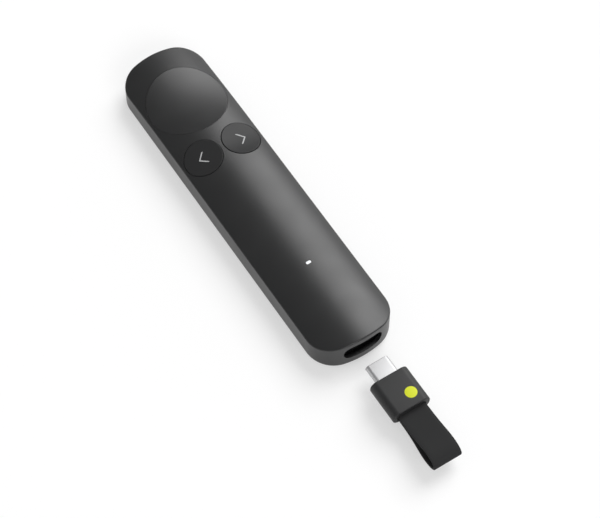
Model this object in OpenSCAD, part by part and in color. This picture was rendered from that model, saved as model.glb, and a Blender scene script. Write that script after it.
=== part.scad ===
// Wireless presentation clicker with a pull-out USB-C receiver on a strap loop.
// Units are millimetres. +Y runs to the end with the large round key, +X to the right, +Z up.
// The origin is the middle of the flat underside, on the surface that the clicker lies on.

/* [Case] */
// Width across the long sides
body_w = 29.5; // [29.5:0.1:31]
// Length from end to end
body_l = 130; // [129:0.5:136]
// Height of the top ridge above the underside
body_h = 12.9; // [12.8:0.1:14]
// Fall of the crowned top from its ridge to the long sides
crown_drop = 3.8; // [3.4:0.1:4]
// Length of the top that falls away at the far end
fall_l = 40; // [35:1:55]
// Radius of that falling part
fall_r = 480; // [400:10:900]
// Radius of the far end's shallow arc
far_end_r = 48; // [42:1:70]
// Corner radius at the far end
far_corner_r = 9; // [8:0.1:9.6]
// Radius of the near end's shallow arc
near_end_r = 32; // [29:1:50]
// Corner radius at the near end
near_corner_r = 10.2; // [9:0.1:10.6]
// Radius of the lower edge
foot_edge_r = 1.6; // [1:0.1:1.8]
// Thickness of the shell's side walls
wall_t = 1.2; // [1:0.05:1.3]
// Thickness of the shell's top
cover_t = 1.3; // [1.1:0.05:1.35]
// Width of the shell's turned-in foot around the base plate
foot_w = 2.4; // [2:0.1:2.6]
// Thickness of the base plate and of the shell's foot
floor_t = 1.3; // [1.1:0.05:1.4]
// Gap around the base plate
plate_gap = 0.1; // [0.05:0.01:0.15]

/* [Large round key] */
// Radius of the large key
main_r = 13.6; // [12.6:0.1:13.6]
// Distance of its centre from the far end
main_in = 22.6; // [22:0.1:23.2]
// Depth of its dished top below the crowned top
dish_depth = 1.3; // [1:0.05:1.4]
// Gap around it
main_gap = 0.15; // [0.1:0.01:0.18]
// Half width of its two retaining tabs
tab_half_w = 5; // [3:0.1:5.5]
// Reach of its retaining tabs under the shell's top
tab_reach = 0.9; // [0.5:0.05:1.1]
// Diameter of its stem
main_stem_d = 5; // [4:0.1:6]

/* [Back and next keys] */
// Radius of each small key
key_r = 6.45; // [5.8:0.05:6.5]
// Distance of each key's centre from the middle line
key_x = 7.16; // [7.1:0.01:7.2]
// Distance of their centres from the far end
key_in = 45.3; // [44.9:0.1:46]
// Gap around each small key
key_gap = 0.18; // [0.1:0.01:0.2]
// Height of the small keys' edges above the crowned top
key_proud = 0.25; // [0.1:0.05:0.4]
// Depth of a small key's dished top below its edge
key_dish = 0.6; // [0.4:0.05:0.65]
// Reach of each key's retaining rim under the shell's top
key_rim = 0.3; // [0.25:0.01:0.32]
// Diameter of a small key's stem
key_stem_d = 3; // [2.4:0.1:3.6]
// Half height of the arrow mark on a key
arrow_reach = 2.2; // [1.6:0.1:2.6]
// Depth of the arrow from its point to the ends of its strokes
arrow_run = 2.2; // [1.6:0.1:2.6]
// Width of the arrow mark's strokes, measured across the body
arrow_stroke = 0.55; // [0.4:0.05:0.8]
// Distance of the arrow's point from its key's centre
arrow_point = 1.8; // [1.2:0.05:2.2]
// Depth of the arrow inlay
arrow_depth = 0.3; // [0.2:0.05:0.35]

/* [Parts of all keys] */
// Thickness of a key's cap
cap_t = 1.1; // [0.9:0.05:1.2]
// Thickness of the skirt around a key's cap
skirt_t = 1; // [0.8:0.05:1.2]
// Play of the keys' rims and tabs below the shell's top
rim_fit = 0.1; // [0.05:0.01:0.15]
// Thickness of the rims and tabs
rim_t = 0.7; // [0.6:0.05:0.8]

/* [Status light] */
// Distance of the light from the near end
light_in = 32.4; // [29:0.1:35]
// Length of the light window across the body
light_w = 1.8; // [1.4:0.1:2.4]
// Width of the light window along the body
light_l = 1; // [0.8:0.1:1.2]
// Diameter of the light pipe's flange
flange_d = 4; // [3.2:0.1:5]
// Thickness of the light pipe's flange
flange_t = 0.8; // [0.6:0.1:1.2]

/* [Receiver] */
// Width of the receiver's housing
rec_w = 13.7; // [13:0.1:13.8]
// Thickness of the receiver's housing
rec_h = 5.6; // [5.4:0.1:5.7]
// Length of the receiver's housing
rec_l = 13.2; // [12.8:0.1:13.6]
// Radius of the housing's long edges
rec_edge_r = 2.4; // [2.1:0.1:2.5]
// Wall thickness of the housing
rec_wall = 0.8; // [0.75:0.05:0.85]
// Height of the receiver's and dock's middle above the underside
dock_z = 7.2; // [7.15:0.05:7.3]
// Distance from the case's near end to the plug's tip, pulled out
pull_out = 6.8; // [4:0.1:12]
// Diameter of the coloured dot on the housing
dot_d = 4; // [3:0.1:5]
// Depth of the coloured dot
dot_t = 0.3; // [0.2:0.05:0.4]
// Place of the dot right of the middle line
dot_x = 2.5; // [-2:0.1:2.5]
// Distance of the dot's centre from the housing's back
dot_from_back = 4.4; // [3.5:0.1:7]

/* [Plug and socket] */
// Width of the plug's metal shell
plug_w = 8.34; // [8.3:0.01:8.4]
// Thickness of the plug's metal shell
plug_h = 2.56; // [2.5:0.01:2.6]
// Length of the plug outside the housing
plug_l = 6.65; // [6.5:0.05:6.8]
// Sheet thickness of the plug's shell
plug_sheet = 0.3; // [0.25:0.01:0.32]
// Length of the plug's shell held inside the housing
plug_root = 3; // [2.6:0.1:3.2]
// Width of the plug's inner cavity
cavity_w = 6.9; // [6.8:0.05:7]
// Height of the plug's inner cavity
cavity_h = 1.14; // [1.1:0.01:1.2]
// Thickness of the plug's contact strips
strip_t = 0.12; // [0.08:0.01:0.14]
// Width of a contact strip
strip_w = 0.26; // [0.2:0.01:0.3]
// Spacing of the contact strips
strip_pitch = 0.5; // [0.45:0.01:0.52]
// Play of the plug in the socket, each side
socket_fit = 0.06; // [0.04:0.01:0.08]
// Sheet thickness of the socket's shell
socket_sheet = 0.25; // [0.2:0.01:0.28]
// Thickness of the socket's tongue
tongue_t = 0.7; // [0.6:0.01:0.72]
// Width of the socket's tongue
tongue_w = 6.6; // [6.2:0.05:6.65]
// Distance of the tongue's tip from the socket's mouth
tongue_back = 1.4; // [1:0.1:2]

/* [Dock] */
// Play around the receiver in the dock, each side
dock_fit = 0.22; // [0.15:0.01:0.25]
// Wall of the dock sleeve
sleeve_t = 0.75; // [0.6:0.05:0.8]
// Depth of the shell's end block around the dock mouth
mouth_t = 2.6; // [2.4:0.1:3]
// Widening of the dock's mouth, each side
mouth_step = 0.3; // [0.1:0.05:0.35]
// Depth of that widening
mouth_step_l = 0.5; // [0.3:0.1:0.8]

/* [Strap] */
// Width of the strap
strap_w = 10.1; // [8:0.1:10.2]
// Thickness of the strap
strap_t = 0.85; // [0.6:0.05:0.9]
// Length of the loop outside the housing
strap_out = 20; // [18:0.1:40]
// Height of the loop's upper run above its middle, where the loop is widest
loop_up = 2.35; // [1.5:0.05:3]
// Fall of the loop's lower run below its middle
loop_down = 3.8; // [1.5:0.05:4.5]
// Gap between the two runs in the housing's slot
run_gap = 0.12; // [0.08:0.01:0.2]
// Place of the runs below the receiver's middle
run_low = 0.35; // [0.2:0.01:0.36]
// Play of the runs in the housing's slot
slot_play = 0.3; // [0.15:0.05:0.35]
// Diameter of the steel pin that holds the loop
pin_d = 1.2; // [1:0.05:1.2]
// Play of the strap around the pin
pin_play = 0.05; // [0.03:0.01:0.08]
// Distance of the pin from the housing's back
pin_in = 2.4; // [2.3:0.1:2.8]
// Depth of the pin's seats in the side walls
pin_seat = 0.4; // [0.3:0.05:0.5]

/* [Inside] */
// Thickness of the circuit board
board_t = 0.8; // [0.7:0.05:0.9]
// Height of the board's top above the underside
board_top = 6.4; // [6.3:0.05:6.5]
// Width of the board
board_w = 22; // [21.6:0.1:22.2]
// Distance of the board from the far end
board_in = 4.4; // [4.2:0.1:5]
// Width of the battery
battery_w = 20; // [14:0.1:20.4]
// Length of the battery
battery_l = 36; // [24:0.5:50]
// Thickness of the battery
battery_h = 3.6; // [2.6:0.1:3.8]
// Thickness of the battery's adhesive pad
pad_t = 0.2; // [0.1:0.05:0.3]
// Diameter of the battery's leads
lead_d = 0.9; // [0.7:0.1:1.1]
// Height of a switch body
switch_h = 1.6; // [1.5:0.05:1.7]
// Width of a switch body
switch_w = 4.5; // [4:0.1:5]
// Diameter of a switch plunger
plunger_d = 2.2; // [1.8:0.1:2.4]
// Height of a plunger above its switch body
plunger_rise = 0.6; // [0.55:0.05:0.7]
// Length of a plunger inside its switch body
plunger_in = 0.8; // [0.6:0.05:0.85]
// Play of a plunger in its switch body
plunger_fit = 0.1; // [0.05:0.01:0.15]
// Diameter of the rests under the board, below the keys
rest_d = 5; // [3:0.1:6]
// Diameter of the vibration motor
motor_d = 8; // [6:0.1:9]
// Thickness of the vibration motor
motor_h = 2.7; // [2:0.1:3]
// Thread diameter of the case screws
screw_d = 1.6; // [1.4:0.05:1.7]
// Length of the case screws below their heads
screw_l = 7.6; // [7:0.1:7.7]
// Height of the screw heads
head_h = 0.7; // [0.6:0.05:0.8]
// Diameter of the screw heads
head_d = 3; // [2.8:0.1:3.2]
// Diameter of the posts and bosses around the screws
post_d = 4; // [3.8:0.1:4.2]
// Distance of the screws from the middle line
screw_x = 8.8; // [8.6:0.1:8.9]
// Distance of the far screws from the far end
screw_in = 7; // [6.5:0.1:7.2]
// Clear space around the posts
post_room = 0.5; // [0.3:0.1:1]

/* [Hidden] */
$fn = 64;

eps = 0.01;
half_w = body_w / 2;
half_l = body_l / 2;
tall = 2 * body_h;
sides = [-1, 1];
fall_y = half_l - fall_l;
main_y = half_l - main_in;
key_y = half_l - key_in;
light_y = light_in - half_l;
board_far = half_l - board_in;

// Radius of an arc from half its chord and its rise
function arc_radius(half_chord, rise) = (half_chord * half_chord + rise * rise) / (2 * rise);

// ---- The crowned top ----
crown_r = arc_radius(half_w, crown_drop);
overrun = 5;
fall_turn = asin((half_l - fall_y + overrun) / fall_r);

// How far the top has fallen at a place along the body
function fall(y) = y < fall_y ? 0 : fall_r - sqrt(fall_r * fall_r - (y - fall_y) * (y - fall_y));
function crown_z(x, y) = body_h - crown_r + sqrt(crown_r * crown_r - x * x) - fall(y);

module crown_section(d) {
  translate([fall_r - crown_r, 0])
    circle(crown_r - d, $fn = 180);
}

// Everything under the crowned top, with that surface set in by d
module under_crown(d) {
  translate([0, fall_y, body_h - fall_r])
    rotate([0, -90, 0]) {
      rotate_extrude(angle = fall_turn, $fn = 720)
        crown_section(d);
      rotate([90, 0, 0])
        linear_extrude(half_l + fall_y + overrun)
          crown_section(d);
    }
}

// ---- The plan outline ----
// One quarter of it: the end's shallow arc runs into the corner's arc
arc_steps = 10;
function corner_y(end_r, corner_r) =
  half_l - end_r + sqrt(pow(end_r - corner_r, 2) - pow(half_w - corner_r, 2));
function corner_turn(end_r, corner_r) =
  atan2(corner_y(end_r, corner_r) - half_l + end_r, half_w - corner_r);
function corner_point(end_r, corner_r, d, a) =
  [half_w - corner_r + (corner_r - d) * cos(a), corner_y(end_r, corner_r) + (corner_r - d) * sin(a)];
function end_point(end_r, d, a) = [(end_r - d) * cos(a), half_l - end_r + (end_r - d) * sin(a)];
function quarter(end_r, corner_r, d) =
  let (turn = corner_turn(end_r, corner_r))
  concat(
    [for (i = [0 : arc_steps]) corner_point(end_r, corner_r, d, turn * i / arc_steps)],
    [for (i = [1 : arc_steps]) end_point(end_r, d, turn + (90 - turn) * i / arc_steps)]);
function backwards(points) = [for (i = [len(points) - 1 : -1 : 0]) points[i]];
function without_first(points) = [for (i = [1 : len(points) - 1]) points[i]];
function flipped(points, sx, sy) = [for (p = points) [sx * p[0], sy * p[1]]];

// The whole outline, set in by d, anticlockwise from the right side
function outline(d) =
  let (
    far = quarter(far_end_r, far_corner_r, d),
    near = quarter(near_end_r, near_corner_r, d))
  concat(
    far,
    without_first(flipped(backwards(far), -1, 1)),
    flipped(near, -1, -1),
    without_first(flipped(backwards(near), 1, -1)));

module column(d, z0, z1) {
  translate([0, 0, z0])
    linear_extrude(z1 - z0)
      polygon(outline(d));
}

// ---- Bars with rounded long edges, along Y at the dock's height ----
module rounded(w, h, r) {
  square([w - 2 * r, h], center = true);
  square([w, h - 2 * r], center = true);
  for (sx = sides, sz = sides)
    translate([sx * (w / 2 - r), sz * (h / 2 - r)])
      circle(r, $fn = 48);
}
module pill(w, h) {
  square([w - h, h], center = true);
  for (sx = sides)
    translate([sx * (w - h) / 2, 0])
      circle(h / 2, $fn = 48);
}
module along(y0, y1) {
  translate([0, y1, dock_z])
    rotate([90, 0, 0])
      linear_extrude(y1 - y0)
        children();
}

// ---- Where things sit ----
key_hole_r = key_r + key_gap;
main_hole_r = main_r + main_gap;
rim_top = cover_t + rim_fit;
rim_bottom = rim_top + rim_t;
wall_relief = 0.25;
board_bottom = board_top - board_t;
switch_top = board_top + switch_h;
stem_foot = switch_top + plunger_rise;

near_face = -half_l;
tip_y = near_face - pull_out;
rec_front = tip_y - plug_l;
rec_back = rec_front - rec_l;
dock_travel = near_face - rec_back;
stop_play = 0.2;
sleeve_near = near_face + mouth_t;
sleeve_stop = rec_front + dock_travel + stop_play;
sleeve_far = sleeve_stop + sleeve_t;
slot_w = rec_w + 2 * dock_fit;
slot_h = rec_h + 2 * dock_fit;
slot_r = rec_edge_r + dock_fit;

socket_in_w = plug_w + 2 * socket_fit;
socket_in_h = plug_h + 2 * socket_fit;
socket_w = socket_in_w + 2 * socket_sheet;
socket_h = socket_in_h + 2 * socket_sheet;
socket_stop = tip_y + dock_travel + stop_play;
socket_root = 0.9;
socket_back = socket_stop + socket_root;
board_gap = 0.3;
board_near = sleeve_far + board_gap;
notch_gap = 0.2;
board_notch = socket_back + notch_gap;

screw_from_board = 1.4;
screw_near_y = board_near + post_d / 2 + screw_from_board;
screw_mid_y = key_y - key_hole_r - key_rim - post_d / 2 - post_room;
screw_ys = [screw_near_y, screw_mid_y, half_l - screw_in];
module at_screws(z) {
  for (sx = sides, y = screw_ys)
    translate([sx * screw_x, y, z])
      children();
}
head_recess = 0.1;
head_play = 0.2;
head_top = head_recess + head_h;
board_hole_d = screw_d + 0.3;
post_hole_d = screw_d + 0.2;
boss_depth = head_top + screw_l + 0.2;

// ---- Shell ----
// The lower edge is rounded by narrowing outlines, hulled once
foot_angles = [90, 60, 30, 0];
module shell_block() {
  intersection() {
    union() {
      hull()
        for (a = foot_angles)
          column(foot_edge_r * (1 - sin(a)), foot_edge_r * (1 - cos(a)), foot_edge_r * (1 - cos(a)) + eps);
      column(0, foot_edge_r, tall);
    }
    under_crown(0);
  }
}

mouth_block_w = slot_w + 4;
module shell_hollow() {
  column(foot_w, -1, floor_t + eps);
  difference() {
    intersection() {
      column(wall_t, floor_t, tall);
      under_crown(cover_t);
    }
    translate([-mouth_block_w / 2, near_face - 1, floor_t])
      cube([mouth_block_w, mouth_t + 1, tall]);
    at_screws(board_top)
      cylinder(d = post_d, h = tall, $fn = 32);
  }
}

module light_shape(grow) {
  pill(light_w + 2 * grow, light_l + 2 * grow);
}

module shell() {
  color([0.19, 0.19, 0.2])
    difference() {
      shell_block();
      shell_hollow();
      along(near_face - 1, sleeve_near + 1)
        rounded(slot_w, slot_h, slot_r);
      along(near_face - 1, near_face + mouth_step_l)
        rounded(slot_w + 2 * mouth_step, slot_h + 2 * mouth_step, slot_r + mouth_step);
      translate([0, main_y, board_top])
        cylinder(r = main_hole_r, h = tall, $fn = 128);
      for (sx = sides)
        translate([sx * key_x, key_y, board_top])
          cylinder(r = key_hole_r, h = tall, $fn = 96);
      translate([0, light_y, board_top])
        linear_extrude(tall)
          light_shape(0);
      at_screws(board_top - 1)
        cylinder(d = screw_d, h = boss_depth - board_top + 1, $fn = 32);
    }
}

module base_plate() {
  color([0.15, 0.15, 0.16])
    difference() {
      union() {
        column(foot_w + plate_gap, 0, floor_t);
        at_screws(floor_t - eps)
          cylinder(d = post_d, h = board_bottom - floor_t + eps, $fn = 32);
        for (at = [[0, main_y], [-key_x, key_y], [key_x, key_y]])
          translate([at[0], at[1], floor_t - eps])
            cylinder(d = rest_d, h = board_bottom - floor_t + eps, $fn = 32);
      }
      at_screws(-1)
        cylinder(d = post_hole_d, h = tall, $fn = 32);
      at_screws(-1)
        cylinder(d = head_d + head_play, h = 1 + head_top, $fn = 32);
    }
}

drive_w = 0.35;
drive_l = 1.8;
module case_screws() {
  color([0.55, 0.56, 0.58])
    at_screws(head_recess)
      difference() {
        union() {
          cylinder(d = head_d, h = head_h, $fn = 32);
          cylinder(d = screw_d, h = head_h + screw_l, $fn = 32);
        }
        for (turn = [0, 90])
          rotate([0, 0, turn])
            cube([drive_l, drive_w, drive_w * 2], center = true);
      }
}

// ---- Dock and socket ----
module dock_sleeve() {
  color([0.1, 0.1, 0.1])
    difference() {
      along(sleeve_near, sleeve_far)
        rounded(slot_w + 2 * sleeve_t, slot_h + 2 * sleeve_t, slot_r + sleeve_t);
      along(sleeve_near - 1, sleeve_stop)
        rounded(slot_w, slot_h, slot_r);
      along(sleeve_stop - 1, sleeve_far + 1)
        pill(socket_in_w, socket_in_h);
    }
}

ear_reach = 1.6;
ear_l = 1.4;
ear_t = 0.25;
module socket_shell() {
  color([0.75, 0.76, 0.78]) {
    difference() {
      along(sleeve_far, socket_back)
        pill(socket_w, socket_h);
      along(sleeve_far - 1, socket_back - socket_sheet)
        pill(socket_in_w, socket_in_h);
    }
    for (sx = sides)
      translate([sx * (socket_w + ear_reach) / 2, socket_stop - ear_l, board_top + ear_t / 2])
        cube([ear_reach, ear_l, ear_t], center = true);
  }
}

module socket_tongue() {
  color([0.08, 0.08, 0.08]) {
    along(socket_stop, socket_back - socket_sheet)
      pill(socket_in_w, socket_in_h);
    translate([-tongue_w / 2, sleeve_far + tongue_back, dock_z - tongue_t / 2])
      cube([tongue_w, socket_stop - sleeve_far - tongue_back + eps, tongue_t]);
  }
}

// ---- Board and what it carries ----
module main_board() {
  color([0.05, 0.3, 0.16])
    difference() {
      translate([-board_w / 2, board_near, board_bottom])
        cube([board_w, board_far - board_near, board_t]);
      translate([-socket_w / 2 - notch_gap / 2, board_near - 1, board_bottom - 1])
        cube([socket_w + notch_gap, board_notch - board_near + 1, board_t + 2]);
      at_screws(board_bottom - 1)
        cylinder(d = board_hole_d, h = board_t + 2, $fn = 32);
    }
}

module on_board(x, y, w, l, h) {
  translate([x - w / 2, y - l / 2, board_top])
    cube([w, l, h]);
}

radio_at = 30;
radio_y = board_near + radio_at;
radio_w = 5;
radio_h = 0.9;
can_w = 9;
can_l = 8;
can_h = 1.6;
can_sheet = 0.2;
module radio_chip() {
  color([0.1, 0.1, 0.11])
    on_board(0, radio_y, radio_w, radio_w, radio_h);
}
module radio_can() {
  color([0.72, 0.73, 0.75])
    difference() {
      on_board(0, radio_y, can_w, can_l, can_h);
      translate([0, 0, -can_sheet])
        on_board(0, radio_y, can_w - 2 * can_sheet, can_l - 2 * can_sheet, can_h);
    }
}
power_chip_x = -5;
power_chip_at = 14.5;
power_chip_w = 4;
power_chip_h = 0.85;
module power_chip() {
  color([0.1, 0.1, 0.11])
    on_board(power_chip_x, board_near + power_chip_at, power_chip_w, power_chip_w, power_chip_h);
}
sensor_x = 5;
sensor_at = 46;
sensor_w = 3;
sensor_l = 2.5;
sensor_h = 0.9;
module motion_sensor() {
  color([0.12, 0.12, 0.13])
    on_board(sensor_x, board_near + sensor_at, sensor_w, sensor_l, sensor_h);
}
antenna_in = 1.5;
antenna_w = 5;
antenna_l = 2;
antenna_h = 1;
module chip_antenna() {
  color([0.8, 0.78, 0.7])
    on_board(0, board_far - antenna_in, antenna_w, antenna_l, antenna_h);
}
motor_from_keys = 14.7;
motor_y = key_y - motor_from_keys;
module vibration_motor() {
  color([0.7, 0.71, 0.73])
    translate([0, motor_y, board_top])
      cylinder(d = motor_d, h = motor_h);
}

battery_z = floor_t + pad_t;
battery_near = screw_near_y + post_d / 2 + post_room;
battery_far = battery_near + battery_l;
module battery_pad() {
  color([0.85, 0.84, 0.8])
    translate([-battery_w / 2 + 1, battery_near + 1, floor_t])
      cube([battery_w - 2, battery_l - 2, pad_t]);
}
module battery() {
  color([0.62, 0.64, 0.66])
    translate([-battery_w / 2, battery_near, battery_z])
      cube([battery_w, battery_l, battery_h]);
}
lead_x = 2;
lead_y = 1.4;
lead_z = battery_z + battery_h / 2;
module lead(x) {
  translate([x, battery_far, lead_z])
    rotate([-90, 0, 0])
      cylinder(d = lead_d, h = lead_y, $fn = 24);
  translate([x, battery_far + lead_y, lead_z])
    sphere(d = lead_d, $fn = 24);
  translate([x, battery_far + lead_y, lead_z])
    cylinder(d = lead_d, h = board_bottom - lead_z, $fn = 24);
}
module red_lead() {
  color([0.7, 0.08, 0.06])
    lead(-lead_x);
}
module black_lead() {
  color([0.06, 0.06, 0.06])
    lead(lead_x);
}

led_w = 1.6;
led_l = 1;
led_h = 0.6;
module status_led() {
  color([0.9, 0.9, 0.82])
    on_board(0, light_y, led_w, led_l, led_h);
}
module light_pipe() {
  color([0.75, 0.78, 0.8])
    intersection() {
      translate([0, light_y, board_top + led_h])
        union() {
          linear_extrude(tall)
            light_shape(0);
          intersection() {
            translate([0, 0, body_h - cover_t - flange_t - board_top - led_h - 0.2])
              cylinder(d = flange_d, h = tall, $fn = 32);
            translate([0, -light_y, -board_top - led_h])
              under_crown(cover_t);
          }
        }
      under_crown(0);
    }
}

// ---- Switches, plungers and keys ----
module switch_at(x, y) {
  difference() {
    on_board(x, y, switch_w, switch_w, switch_h);
    translate([x, y, switch_top - switch_h + 0.2])
      cylinder(d = plunger_d + 2 * plunger_fit, h = switch_h, $fn = 32);
  }
}
module plunger_at(x, y) {
  translate([x, y, switch_top - plunger_in])
    cylinder(d = plunger_d, h = plunger_in + plunger_rise, $fn = 32);
}
module main_switch() {
  color([0.14, 0.14, 0.15])
    switch_at(0, main_y);
}
module back_switch() {
  color([0.14, 0.14, 0.15])
    switch_at(-key_x, key_y);
}
module next_switch() {
  color([0.14, 0.14, 0.15])
    switch_at(key_x, key_y);
}
module main_plunger() {
  color([0.8, 0.78, 0.7])
    plunger_at(0, main_y);
}
module back_plunger() {
  color([0.8, 0.78, 0.7])
    plunger_at(-key_x, key_y);
}
module next_plunger() {
  color([0.8, 0.78, 0.7])
    plunger_at(key_x, key_y);
}

// A solid whose top dips along the body and is one arc across it, with its middle at the origin.
// The arc crowns where its radius is above zero and dips as well where it is below
module saddle(across, along) {
  translate([0, 0, along])
    rotate([0, 90, 0])
      rotate([0, 0, -15])
        rotate_extrude(angle = 30, $fn = 360)
          saddle_section(across, along);
}
module saddle_section(across, along) {
  if (across > 0)
    translate([along + across, 0])
      circle(across, $fn = 720);
  else
    difference() {
      translate([along / 2, -half_w])
        square([along / 2 + tall, body_w]);
      translate([along + across, 0])
        circle(-across, $fn = 720);
    }
}

// A ring that fits below the shell's top, clear of the side walls
module rim_band() {
  intersection() {
    difference() {
      under_crown(rim_top);
      under_crown(rim_bottom);
    }
    column(wall_t + wall_relief, 0, tall);
    children();
  }
}

module arrow_column(side) {
  translate([side * (key_x + arrow_point), key_y, board_top])
    linear_extrude(tall)
      polygon([
        [0, 0], [-side * arrow_run, arrow_reach], [-side * (arrow_run + arrow_stroke), arrow_reach],
        [-side * arrow_stroke, 0],
        [-side * (arrow_run + arrow_stroke), -arrow_reach], [-side * arrow_run, -arrow_reach]]);
}
// Everything under a small key's dished top, lowered by d: one radius across, the other along
key_place_r = crown_r + key_proud;
key_lean = asin(key_x / key_place_r);
key_across = arc_radius(key_r, key_place_r - sqrt(key_place_r * key_place_r - key_r * key_r) - key_dish);
key_along = arc_radius(key_r, key_dish);
module under_key(side, d) {
  translate([0, key_y, body_h - crown_r])
    rotate([0, side * key_lean, 0])
      translate([0, 0, key_place_r - key_dish - d])
        saddle(key_across, key_along);
}
module arrow(side) {
  intersection() {
    arrow_column(side);
    difference() {
      under_key(side, 0);
      under_key(side, arrow_depth);
    }
  }
}

module key(side) {
  difference() {
    union() {
      difference() {
        intersection() {
          under_key(side, 0);
          translate([side * key_x, key_y, board_top])
            cylinder(r = key_r, h = tall, $fn = 96);
        }
        under_crown(rim_bottom);
        intersection() {
          under_crown(cap_t);
          translate([side * key_x, key_y, 0])
            cylinder(r = key_r - skirt_t, h = tall, $fn = 96);
        }
      }
      rim_band()
        difference() {
          translate([side * key_x, key_y, 0])
            cylinder(r = key_hole_r + key_rim, h = tall, $fn = 96);
          translate([side * key_x, key_y, -1])
            cylinder(r = key_r - skirt_t / 2, h = tall + 2, $fn = 96);
        }
      intersection() {
        under_crown(cap_t - 0.1);
        translate([side * key_x, key_y, stem_foot])
          cylinder(d = key_stem_d, h = tall, $fn = 32);
      }
    }
    difference() {
      arrow_column(side);
      under_key(side, arrow_depth);
    }
  }
}
module back_key() {
  color([0.21, 0.21, 0.22])
    key(-1);
}
module next_key() {
  color([0.21, 0.21, 0.22])
    key(1);
}
module back_arrow() {
  color([0.6, 0.6, 0.62])
    arrow(-1);
}
module next_arrow() {
  color([0.6, 0.6, 0.62])
    arrow(1);
}

// The large key's dish meets the crowned top all round its edge
dish_across = arc_radius(main_r, crown_r - sqrt(crown_r * crown_r - main_r * main_r) - dish_depth);
dish_along = arc_radius(main_r, dish_depth - fall_r + sqrt(fall_r * fall_r - main_r * main_r));
dish_tilt = asin((main_y - fall_y) / fall_r);
module under_dish(d) {
  translate([0, main_y, crown_z(0, main_y) - dish_depth - d])
    rotate([-dish_tilt, 0, 0])
      saddle(dish_across, dish_along);
}
module main_key() {
  color([0.21, 0.21, 0.22]) {
    difference() {
      intersection() {
        under_dish(0);
        translate([0, main_y, board_top])
          cylinder(r = main_r, h = tall, $fn = 128);
      }
      under_dish(cap_t);
    }
    difference() {
      intersection() {
        under_dish(cap_t / 2);
        translate([0, main_y, board_top])
          cylinder(r = main_r, h = tall, $fn = 128);
      }
      under_crown(rim_bottom);
      translate([0, main_y, 0])
        cylinder(r = main_r - skirt_t, h = tall, $fn = 128);
    }
    rim_band()
      difference() {
        translate([0, main_y, 0])
          cylinder(r = main_hole_r + tab_reach, h = tall, $fn = 128);
        translate([0, main_y, -1])
          cylinder(r = main_r - skirt_t / 2, h = tall + 2, $fn = 128);
        for (sx = sides)
          translate([sx * (tab_half_w + main_r), main_y, 0])
            cube([2 * main_r, 4 * main_r, 3 * tall], center = true);
      }
    intersection() {
      under_dish(cap_t - 0.1);
      translate([0, main_y, stem_foot])
        cylinder(d = main_stem_d, h = tall, $fn = 32);
    }
  }
}

// ---- Receiver ----
inner_w = rec_w - 2 * rec_wall;
inner_h = rec_h - 2 * rec_wall;
inner_r = rec_edge_r - rec_wall;
pin_y = rec_back + pin_in;
pin_l = inner_w + 2 * pin_seat;
strap_slot_h = 2 * strap_t + run_gap + 2 * slot_play;
module strap_pin() {
  color([0.7, 0.71, 0.73])
    translate([-pin_l / 2, pin_y, dock_z - run_low])
      rotate([0, 90, 0])
        cylinder(d = pin_d, h = pin_l, $fn = 32);
}
module dot_disc(h) {
  translate([dot_x, rec_back + dot_from_back, dock_z + rec_h / 2 - dot_t])
    cylinder(d = dot_d, h = h, $fn = 48);
}
module receiver_housing() {
  color([0.19, 0.19, 0.2])
    difference() {
      along(rec_back, rec_front)
        rounded(rec_w, rec_h, rec_edge_r);
      along(rec_back + rec_wall, rec_front + 1)
        rounded(inner_w, inner_h, inner_r);
      translate([0, rec_back, dock_z - run_low])
        cube([strap_w + 2 * slot_play, 2 * rec_wall + 1, strap_slot_h], center = true);
      strap_pin();
      dot_disc(1);
    }
}
module receiver_dot() {
  color([0.78, 0.88, 0.12])
    dot_disc(dot_t);
}
nose_t = 1;
module receiver_nose() {
  color([0.16, 0.16, 0.17])
    difference() {
      along(rec_front - nose_t, rec_front)
        rounded(inner_w, inner_h, inner_r);
      along(rec_front - nose_t - 1, rec_front + 1)
        pill(plug_w, plug_h);
    }
}
plug_in_w = plug_w - 2 * plug_sheet;
plug_in_h = plug_h - 2 * plug_sheet;
module plug_shell() {
  color([0.8, 0.81, 0.83])
    difference() {
      along(rec_front - plug_root, tip_y)
        pill(plug_w, plug_h);
      along(rec_front - plug_root - 1, tip_y + 1)
        pill(plug_in_w, plug_in_h);
    }
}
cavity_past = 0.6;
cavity_l = plug_l - tongue_back + cavity_past;
insulator_in = 0.15;
module plug_insulator() {
  color([0.08, 0.08, 0.08])
    difference() {
      along(rec_front - plug_root, tip_y - insulator_in)
        pill(plug_in_w, plug_in_h);
      translate([0, tip_y, dock_z])
        cube([cavity_w, 2 * cavity_l, cavity_h], center = true);
    }
}
strips_each_side = 12;
strip_inset = 0.5;
module plug_contacts() {
  color([0.85, 0.68, 0.3])
    for (sz = sides, i = [0 : strips_each_side - 1])
      translate([
        (i - (strips_each_side - 1) / 2) * strip_pitch - strip_w / 2,
        tip_y - cavity_l,
        dock_z + sz * (cavity_h - strip_t) / 2 - strip_t / 2])
        cube([strip_w, cavity_l - strip_inset, strip_t]);
}
rec_board_w = 10.4;
rec_board_t = 0.6;
rec_board_gap = 0.3;
rec_board_back = pin_y + pin_d / 2 + strap_t + rec_board_gap;
rec_board_front = rec_front - plug_root;
module receiver_board() {
  color([0.05, 0.3, 0.16])
    translate([-rec_board_w / 2, rec_board_back, dock_z - rec_board_t / 2])
      cube([rec_board_w, rec_board_front - rec_board_back, rec_board_t]);
}
rec_chip_w = 3.5;
rec_chip_h = 0.8;
module receiver_chip() {
  color([0.1, 0.1, 0.11])
    translate([0, (rec_board_back + rec_board_front) / 2, dock_z + (rec_board_t + rec_chip_h) / 2])
      cube([rec_chip_w, rec_chip_w, rec_chip_h], center = true);
}

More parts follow.
